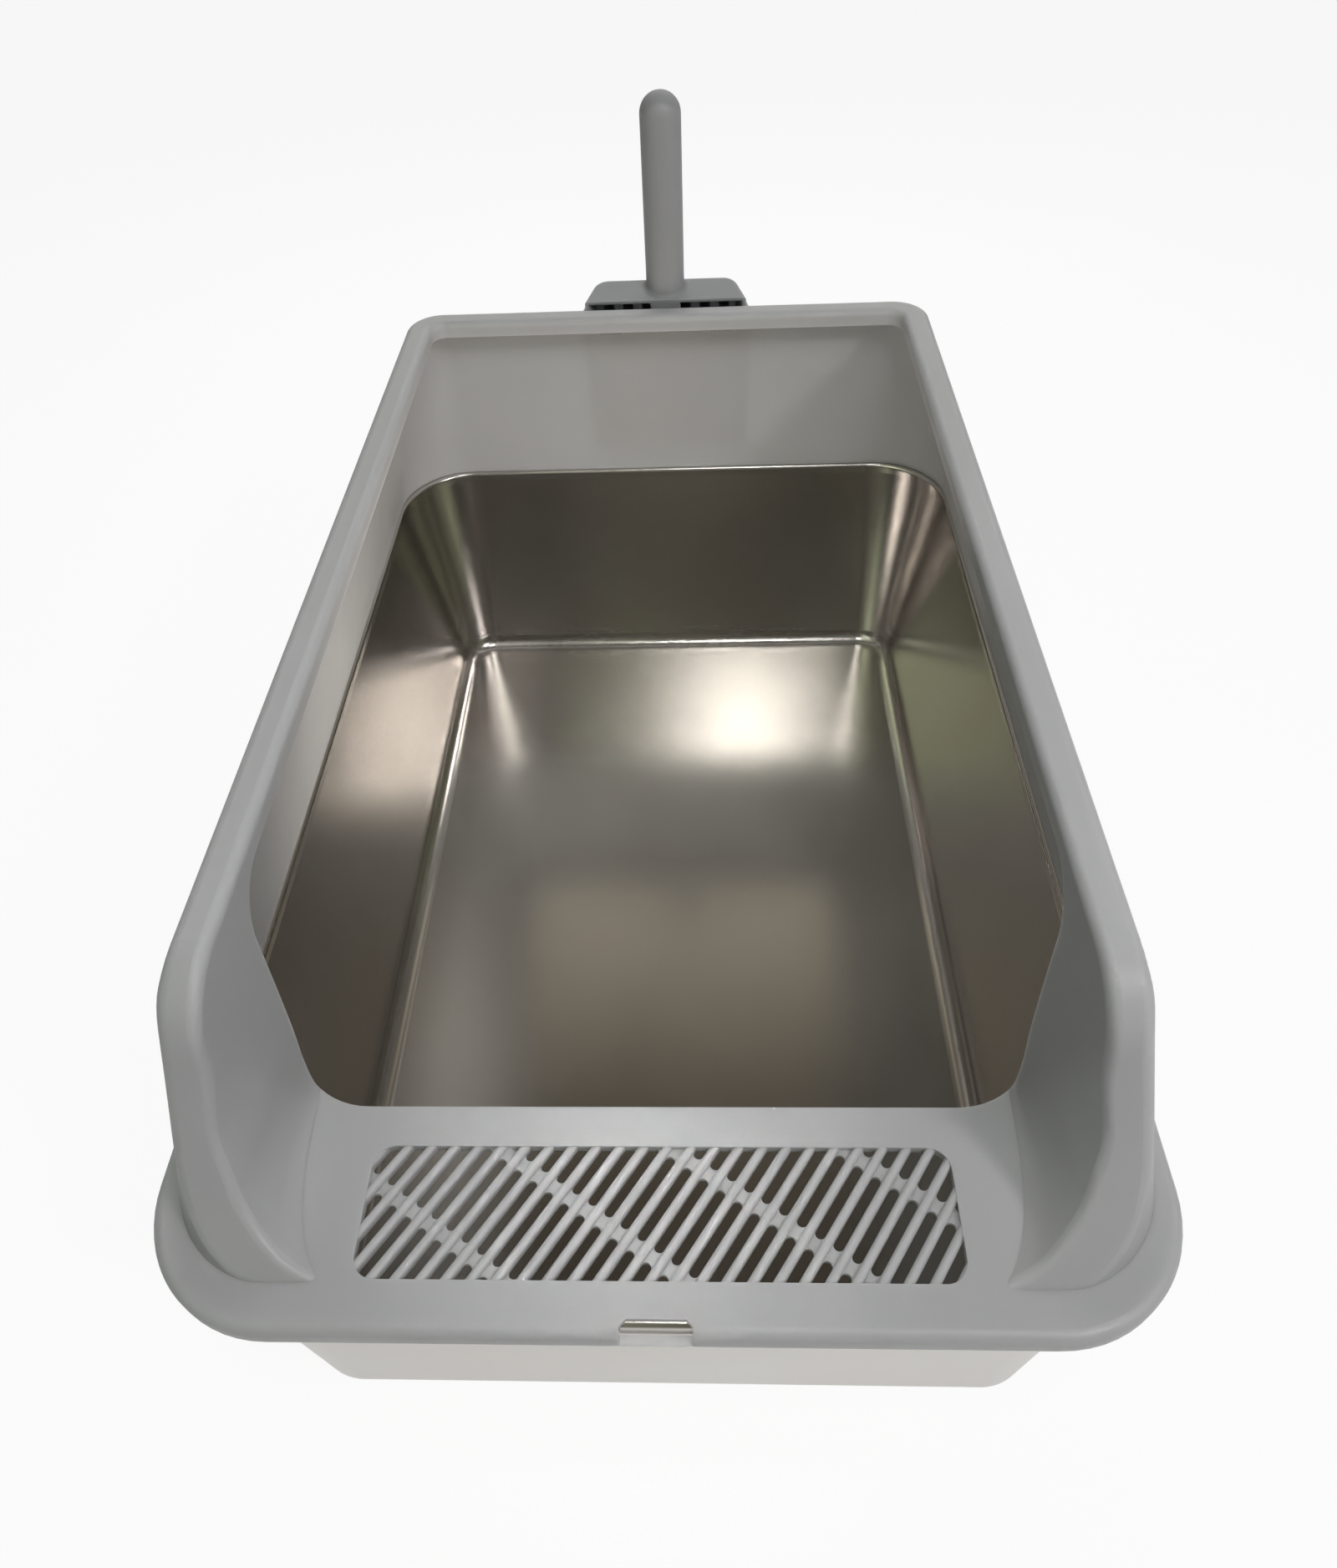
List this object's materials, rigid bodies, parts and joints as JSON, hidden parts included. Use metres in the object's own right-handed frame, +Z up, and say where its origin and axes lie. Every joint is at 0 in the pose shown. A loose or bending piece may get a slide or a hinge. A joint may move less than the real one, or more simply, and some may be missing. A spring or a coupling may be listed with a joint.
{
  "type": "litter tray",
  "caption": "Deep rectangular steel tray with a clip-on high-sided enclosure, a low slatted front step, and a slotted scoop standing in a holder on the back wall.",
  "frame": {"origin": "centre of the pan's underside, on the floor", "axes": "+Z up, -Y the front step where the animal gets in, +X to the right seen from the front"},
  "size_m": [0.402, 0.6085, 0.4005],
  "materials": {
    "brushed_steel": "satin",
    "light_grey_plastic": "semi-matte"
  },
  "bodies": {
    "pan": {"steel_pan": "brushed_steel"},
    "enclosure": {"enclosure": "light_grey_plastic", "scoop_holder": "light_grey_plastic"},
    "scoop": {"scoop": "light_grey_plastic"}
  },
  "joints": [
    {"name": "enclosure_lift", "type": "slide", "parent": "pan", "child": "enclosure", "axis": [0, 0, 1], "range_m": [0, 0.15]},
    {"name": "scoop_lift", "type": "slide", "parent": "enclosure", "child": "scoop", "axis": [0, -0.2514, 0.9679], "range_m": [0, 0.125]}
  ]
}
